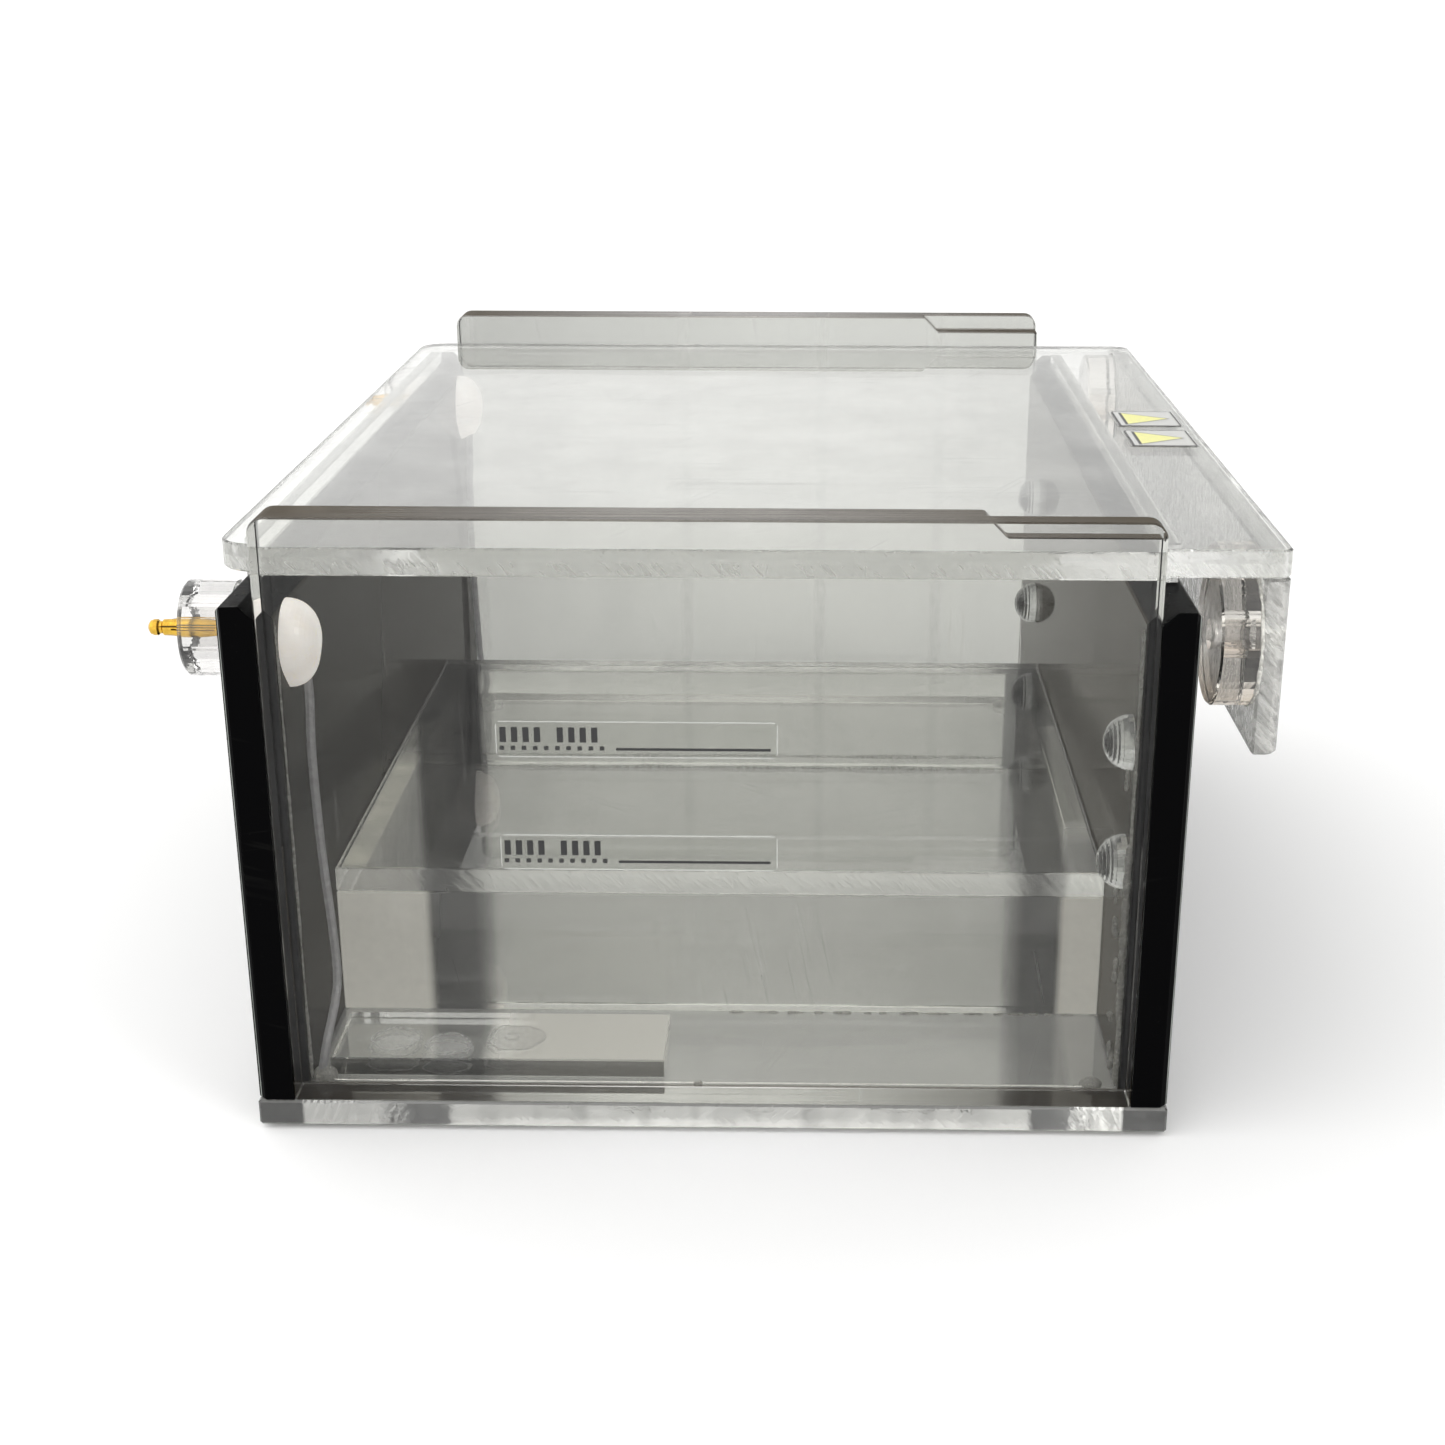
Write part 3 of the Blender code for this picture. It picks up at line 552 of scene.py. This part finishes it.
def caution_film(name):
    """A plain yellow triangle, its point towards the lid's edge, with a black outline on clear film."""
    g = Graph(name)
    low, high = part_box(name)
    x, y, _ = g.axes()
    left, right = low[0] / MM + 2.4, high[0] / MM - 2.0
    bottom, top = low[1] / MM, high[1] / MM
    middle = (low[1] + high[1]) / 2
    reach = (high[1] - low[1]) / 2 / MM - 1.6
    along = g.ramp(x, left * MM, right * MM)
    aside = g.math("DIVIDE", g.math("ABSOLUTE", g.math("SUBTRACT", y, middle)), reach * MM)
    inside = g.math("SUBTRACT", g.math("SUBTRACT", 1.0, along), aside)
    inside = g.product(inside, g.band(x, left, right))
    black = g.ramp(inside, 0.0, 0.02)
    yellow = g.product(g.ramp(inside, 0.05, 0.07), g.band(x, left + 0.7, right))
    frame_in = g.product(g.band(x, left - 1.3, right + 1.1), g.band(y, bottom + 0.7, top - 0.7))
    frame_out = g.product(g.band(x, left - 1.7, right + 1.5), g.band(y, bottom + 0.25, top - 0.25))
    outline = g.math("SUBTRACT", frame_out, frame_in, clamp=True)
    worn = g.noise(g.place(), 1.2, 4.0, 0.65)
    paint = g.mix(g.ramp(worn, 0.35, 0.7), (0.78, 0.76, 0.24), (0.66, 0.65, 0.30))
    color = g.mix(yellow, (0.02, 0.02, 0.02), paint)
    ink = g.principled({"Base Color": color, "Roughness": 0.38, "Normal": g.bump(worn, 0.1, 0.0001)})
    film = g.cover(g.product(frame_out, 0.45), film_shader(g, 0.12), g.matt((0.80, 0.80, 0.78)))
    return g.finish(g.cover(g.largest((black, outline)), film, ink))


# ---------------------------------------------------------------- which piece has which material


def assign(material, *names):
    for name in names:
        obj = nodes[name]
        obj.data.materials.clear()
        obj.data.materials.append(material)


CLEAR = (0.965, 0.968, 0.945)
# The brown of the painted reflection along the end plates' top edges.
BROWN = (0.34, 0.29, 0.26)
LOW_CLEAR = ((0.80, 0.80, 0.77), 4, 14)
DROPS = ((-73.0, -117.0, 5.5), (-61.0, -119.0, 5.2), (-46.0, -115.5, 6.2), (-46.5, -115.0, 2.0))
LID_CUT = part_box("lid_plate")[1][2] / MM - 2.6
BOSS_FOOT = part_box("lid_boss_near")[0][2] / MM
LOW_BOSS = ((0.62, 0.50, 0.39), BOSS_FOOT + 2, BOSS_FOOT + 11)

# The base's colour holds painted shade: darker bands beside the walls, black ends under them, and a darker near
# face in broken lengths.
base = acrylic(
    "look_base", CLEAR, 0.05, 0.6, 1.0, 0.04, seed=0.1, shade=(0.90, 0.90, 0.87), shine=1.65,
    dark_ends=90.0, top_haze=0.20, front_tint=(0.86, 0.86, 0.82), segments=True, painted_shade_strength=0.55,
)
assign(base, "base_plate")
# The near plate's brown top edge is a painted reflection.
near_plate = acrylic(
    "look_near_plate", (0.905, 0.905, 0.89), 0.03, 0.3, 0.4, seed=0.3, top_tint=BROWN, ior=1.27
)
assign(near_plate, "near_end_plate")
# Painted shade: the far plate's dark tint stands for the dimmer surroundings seen through it. Its top edge is a
# painted brown reflection.
far_plate = acrylic(
    "look_far_plate", (0.550, 0.556, 0.530), 0.05, 0.5, 0.4, seed=0.6, streaks=True, fade=True,
    top_tint=BROWN, low_tint=LOW_CLEAR,
)
assign(far_plate, "far_end_plate")
# The platform's colour holds painted shade bands beside the walls, and a glowing cream wedge of painted light
# under its near left corner.
platform = acrylic(
    "look_platform", CLEAR, 0.06, 1.2, 0.5, 0.25, seed=0.9, clouded=painted_light_corner, glow=0.24, painted_shade_strength=0.82
)
assign(platform, "gel_platform")
# The near riser's colour holds painted shade bands beside the walls, and glowing cream patches of painted light
# towards both ends.
near_riser = acrylic(
    "look_near_riser", CLEAR, 0.10, 1.8, 0.5, seed=1.2, front_haze=0.06, clouded=painted_light_ends,
    glow=0.30, painted_shade_strength=1.0,
)
assign(near_riser, "near_riser")
# Painted shade: the far riser is black towards its ends.
assign(acrylic("look_far_riser", CLEAR, 0.05, 0.8, 0.4, seed=1.3, dark_ends=80.0), "far_riser")
for side, cloud_to in (("left", -8.0), ("right", -60.0)):
    rail = acrylic(
        f"look_{side}_rail", (0.97, 0.965, 0.92), 1.7, 0.6, 0.3, seed=0.7, cloud_to=cloud_to, ior=1.12
    )
    assign(rail, f"{side}_platform_rail")
# The slab's near face is painted dark as shade, and the right half of its top is hazed with a faint glow of
# painted light.
slab = acrylic(
    "look_slab", (0.97, 0.975, 0.965), 0.15, 0.8, 0.4, seed=1.5, front_tint=(0.10, 0.10, 0.095),
    rings=DROPS, clouded=haze_and_glow_half, glow=0.24,
)
assign(slab, "floor_slab")
# Painted shade: the lid's near face takes a darker tint.
lid = acrylic(
    "look_lid", (0.885, 0.890, 0.868), 0.3, 1.4, 0.8, 0.60, seed=0.2, front_tint=(0.80, 0.805, 0.785),
    sawn_below=LID_CUT,
)
assign(lid, "lid_plate")
assign(acrylic("look_flange", (0.995, 0.99, 0.955), 0.3, 1.2, 0.6, 0.7, seed=0.4), "lid_flange")
boss = acrylic("look_boss", (0.93, 0.90, 0.865), 0.1, 0.6, 0.4, seed=0.8, low_tint=LOW_BOSS)
assign(boss, "lid_boss_near", "lid_boss_far")
runner = acrylic("look_runner", (0.98, 0.98, 0.97), 0.1, 0.4, 0.3, seed=1.1)
assign(runner, "lid_runner_left", "lid_runner_right")
shroud = acrylic("look_shroud", (0.84, 0.83, 0.82), 0.1, 0.6, 0.3, seed=1.4)
assign(shroud, "near_plug_shroud", "far_plug_shroud")
assign(black_acrylic("look_black"), "left_side_wall", "right_side_wall")
for pin in ("near_plug_pin", "far_plug_pin"):
    assign(metal(f"look_{pin}", (0.74, 0.47, 0.07), (0.50, 0.29, 0.04), 0.12, slotted=pin), pin)
brass = metal("look_brass", (0.72, 0.56, 0.30), (0.45, 0.33, 0.16), 0.3)
assign(brass, "near_plug_nut", "far_plug_nut")
tin = metal("look_tin", (0.66, 0.65, 0.62), (0.42, 0.41, 0.38), 0.35)
assign(tin, "near_solder_tag", "far_solder_tag")
platinum = metal("look_platinum", (0.74, 0.73, 0.70), (0.5, 0.49, 0.47), 0.2)
assign(platinum, "near_electrode_wire", "far_electrode_wire")
assign(sealant("look_sealant"), "near_potting", "far_potting")
sleeve = clear_rubber("look_sleeve", (0.92, 0.92, 0.95), 1.42, 0.10, milk=0.45)
assign(sleeve, "near_wire_sleeve", "far_wire_sleeve")
bumpers = [name for name in nodes if name.startswith("wall_bumper")]
assign(clear_rubber("look_bumper", (0.90, 0.91, 0.90), 1.50, 0.01, stuck=True), *bumpers)
feet = [name for name in nodes if name.startswith("foot_")]
assign(clear_rubber("look_foot", (0.90, 0.91, 0.90), 1.50, 0.01), *feet)
anchors = [name for name in nodes if "wire_anchor" in name]
look_cement = cement("look_cement")
assign(look_cement, *anchors)
for label in ("fill_label_high", "fill_label_low"):
    assign(fill_film(label), label)
for label in ("lid_label_near", "lid_label_far"):
    assign(caution_film(label), label)


# ---------------------------------------------------------------- cement beads

BEAD_SIDES = 9


def bead(name, path, radius, body, seed):
    """A run of squeezed-out cement along a joint, uneven in thickness."""
    rng = random.Random(seed)
    bm = bmesh.new()
    rings = []
    count = len(path)
    drift = 0.0
    for i, point in enumerate(path):
        ahead = path[min(i + 1, count - 1)] - path[max(i - 1, 0)]
        ahead.normalize()
        across = ahead.orthogonal().normalized()
        up = ahead.cross(across)
        drift = 0.7 * drift + rng.uniform(-0.35, 0.35)
        size = radius * max(0.25, 1.0 + drift)
        if i in (0, count - 1):
            size *= 0.3
        ring = []
        for step in range(BEAD_SIDES):
            angle = 2 * math.pi * step / BEAD_SIDES
            wobble = size * rng.uniform(0.75, 1.25)
            offset = across * (math.cos(angle) * wobble) + up * (math.sin(angle) * wobble)
            ring.append(bm.verts.new(point + offset))
        rings.append(ring)
    for first, second in zip(rings, rings[1:]):
        for step in range(BEAD_SIDES):
            after = (step + 1) % BEAD_SIDES
            bm.faces.new((first[step], first[after], second[after], second[step]))
    bm.faces.new(rings[0])
    bm.faces.new(rings[-1])
    bmesh.ops.recalc_face_normals(bm, faces=bm.faces)
    mesh = bpy.data.meshes.new(name)
    bm.to_mesh(mesh)
    bm.free()
    mesh.shade_smooth()
    mesh.materials.append(look_cement)
    made = bpy.data.objects.new(name, mesh)
    bpy.context.scene.collection.objects.link(made)
    smooth = made.modifiers.new("round", "SUBSURF")
    smooth.levels = 1
    smooth.render_levels = 1
    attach(made, body)
    return made


def straight(start, end, count):
    start, end = Vector(start), Vector(end)
    return [start.lerp(end, i / (count - 1)) for i in range(count)]


def upright(x, y, low, high, count):
    return straight((x, y, low), (x, y, high), count)


inner_x = 90 * MM
plate_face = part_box("near_end_plate")[1][1]
base_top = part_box("base_plate")[1][2]
joint_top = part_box("right_side_wall")[1][2] - 6 * MM
joint_foot = base_top + 1 * MM

right_joint = upright(inner_x - 0.4 * MM, plate_face + 0.5 * MM, joint_foot, joint_top, 90)
bead("cement_near_right_joint", right_joint, 0.42 * MM, "tank", 3)
right_foot = straight(
    (inner_x - 0.7 * MM, plate_face + 0.6 * MM, base_top + 0.8 * MM),
    (inner_x - 0.6 * MM, plate_face + 0.6 * MM, 66 * MM),
    50,
)
bead("cement_near_right_foot", right_foot, 0.75 * MM, "tank", 4)

SMEAR_HEIGHTS = (12, 15, 24, 33, 44, 52, 78)
smears = random.Random(29)
smear_y = plate_face + 0.25 * MM
for index, height in enumerate(SMEAR_HEIGHTS):
    reach = smears.uniform(2.0, 6.5)
    x = inner_x - smears.uniform(1.6, 3.4) * MM
    lean = smears.uniform(-0.8, 0.8) * MM
    path = straight((x, smear_y, height * MM), (x + lean, smear_y, (height + reach) * MM), 9)
    bead(f"cement_smear_{index}", path, smears.uniform(0.35, 0.9) * MM, "tank", 70 + index)

left_joint = upright(-inner_x + 0.3 * MM, plate_face + 0.3 * MM, joint_foot, joint_top, 70)
bead("cement_near_left_joint", left_joint, 0.3 * MM, "tank", 5)

# a broken run of short beads along the near riser's foot
RUN_START, RUN_END = 2.0, 88.0
riser_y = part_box("near_riser")[0][1] - 0.2 * MM
riser_z = base_top + 0.2 * MM
rng = random.Random(11)
position = RUN_START
index = 0
while position < RUN_END:
    length = rng.uniform(1.6, 6.5)
    path = straight((position * MM, riser_y, riser_z), ((position + length) * MM, riser_y, riser_z), 7)
    bead(f"cement_riser_{index}", path, 0.28 * MM, "tank", 20 + index)
    position += length + rng.uniform(0.8, 3.2)
    index += 1

far_low, far_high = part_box("far_riser")
left, right = far_low[0] + 8 * MM, far_high[0] - 8 * MM
for name, y, height in (("front", far_low[1] - 0.35 * MM, 0.4 * MM), ("back", far_high[1] + 0.4 * MM, 2.4 * MM)):
    path = straight((left, y, base_top + height), (right, y, base_top + height), 60)
    bead(f"cement_far_riser_{name}", path, 0.45 * MM, "tank", 61)

floor_spot = straight(
    (-4.5 * MM, plate_face + 0.8 * MM, base_top + 0.3 * MM),
    (-2.4 * MM, plate_face + 0.9 * MM, base_top + 0.4 * MM),
    6,
)
bead("cement_floor_spot", floor_spot, 0.7 * MM, "tank", 8)

RING_STEPS = 72
for end, seed in (("near", 31), ("far", 37)):
    low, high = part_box(f"lid_boss_{end}")
    centre = Vector((high[0] - 0.1 * MM, (low[1] + high[1]) / 2, (low[2] + high[2]) / 2))
    radius = (high[2] - low[2]) / 2 - 0.1 * MM
    ring = []
    for step in range(RING_STEPS + 1):
        angle = 2 * math.pi * step / RING_STEPS
        ring.append(centre + Vector((0.0, radius * math.cos(angle), radius * math.sin(angle))))
    bead(f"cement_boss_{end}", ring, 0.42 * MM, "lid", seed)


# ---------------------------------------------------------------- floor and lamps

FLOOR_REACH = 120.0
FLOOR_DROP = 0.0001


def floor_material():
    g = Graph("floor_look")
    color = g.mix(g.noise(g.place(), 0.004, 3.0), (0.94, 0.94, 0.94), (0.93, 0.93, 0.93))
    return g.finish(g.matt(color))


bm = bmesh.new()
bmesh.ops.create_grid(bm, x_segments=1, y_segments=1, size=FLOOR_REACH)
mesh = bpy.data.meshes.new("floor")
bm.to_mesh(mesh)
bm.free()
mesh.materials.append(floor_material())
floor = bpy.data.objects.new("floor", mesh)
floor.location = (0.0, 0.0, -FLOOR_DROP)
bpy.context.scene.collection.objects.link(floor)


def softbox(name, place, target, size, power, spread=180.0):
    """A rectangular lamp aimed at target: metres, watts, and degrees of spread."""
    data = bpy.data.lights.new(name, "AREA")
    data.spread = math.radians(spread)
    data.shape = "RECTANGLE"
    data.size, data.size_y = size
    data.energy = power
    data.color = (1.0, 1.0, 1.0)
    lamp = bpy.data.objects.new(name, data)
    lamp.location = place
    lamp.rotation_euler = (Vector(target) - Vector(place)).to_track_quat("-Z", "Y").to_euler()
    bpy.context.scene.collection.objects.link(lamp)


softbox("key_light", (-0.9, -0.3, 1.5), (0.0, 0.0, 0.05), (0.9, 0.9), 1.0)
softbox("fill_light", (0.75, -0.85, 0.75), (-0.09, -0.12, 0.09), (0.35, 0.35), 2.5)
softbox("inside_light", (0.0, -0.05, 1.0), (0.0, -0.03, 0.0), (0.10, 0.18), 0.034, spread=12.0)


# ---------------------------------------------------------------- white surroundings

SKY_COLOR = (1.0, 0.998, 0.99, 1.0)
SKY_STRENGTH = 1.22
SKY_SLOPE_X = -0.75
SKY_SLOPE_Y = -0.25
SEEN_STRENGTH = 1.1

scene = bpy.context.scene
world = bpy.data.worlds.new("studio")
world.use_nodes = True
tree = world.node_tree
direction = tree.nodes.new("ShaderNodeTexCoord").outputs["Generated"]
split = tree.nodes.new("ShaderNodeSeparateXYZ")
tree.links.new(direction, split.inputs[0])


def sky_slope(component, rate, base):
    """Strength that grows by rate for each unit of a direction's component, on top of base."""
    made = tree.nodes.new("ShaderNodeMath")
    made.operation = "MULTIPLY_ADD"
    tree.links.new(split.outputs[component], made.inputs[0])
    made.inputs[1].default_value = rate
    if isinstance(base, bpy.types.NodeSocket):
        tree.links.new(base, made.inputs[2])
    else:
        made.inputs[2].default_value = base
    return made.outputs[0]


brightness = sky_slope(1, SKY_SLOPE_Y, sky_slope(0, SKY_SLOPE_X, SKY_STRENGTH))
background = tree.nodes["Background"]
background.inputs["Color"].default_value = SKY_COLOR
seen = tree.nodes.new("ShaderNodeMix")
tree.links.new(tree.nodes.new("ShaderNodeLightPath").outputs["Is Camera Ray"], seen.inputs[0])
tree.links.new(brightness, seen.inputs[2])
seen.inputs[3].default_value = SEEN_STRENGTH
tree.links.new(seen.outputs[0], background.inputs["Strength"])
scene.world = world


# ---------------------------------------------------------------- camera

FOCAL = 2164.2
FRAME_SIDE = 1445.0
SENSOR = 36.0
LENS_SHIFT = (-0.0409, 0.0482)
CAMERA_PLACE = (0.02092, -0.56088, 0.23972)
PITCH, YAW, ROLL = (math.radians(v) for v in (20.762, -0.784, 0.153))

camera_data = bpy.data.cameras.new("camera")
camera_data.sensor_fit = "HORIZONTAL"
camera_data.sensor_width = SENSOR
camera_data.lens = FOCAL / FRAME_SIDE * SENSOR
camera_data.shift_x, camera_data.shift_y = LENS_SHIFT
camera_data.clip_start = 0.01
camera_data.clip_end = 400.0
forward = Vector((math.sin(YAW) * math.cos(PITCH), math.cos(YAW) * math.cos(PITCH), -math.sin(PITCH)))
rightward = Vector((math.cos(YAW), -math.sin(YAW), 0.0))
upward = rightward.cross(forward)
turned_right = rightward * math.cos(ROLL) + upward * math.sin(ROLL)
turned_up = upward * math.cos(ROLL) - rightward * math.sin(ROLL)
camera = bpy.data.objects.new("camera", camera_data)
axes = Matrix((turned_right, turned_up, -forward)).transposed()
camera.matrix_world = Matrix.Translation(CAMERA_PLACE) @ axes.to_4x4()
scene.collection.objects.link(camera)
scene.camera = camera

scene.view_settings.view_transform = "Standard"
scene.view_settings.look = "None"
scene.cycles.max_bounces = 36
scene.cycles.transmission_bounces = 24
scene.cycles.transparent_max_bounces = 32
scene.cycles.glossy_bounces = 24
scene.cycles.diffuse_bounces = 4
scene.cycles.sample_clamp_indirect = 6.0
scene.cycles.caustics_refractive = False
scene.cycles.caustics_reflective = False
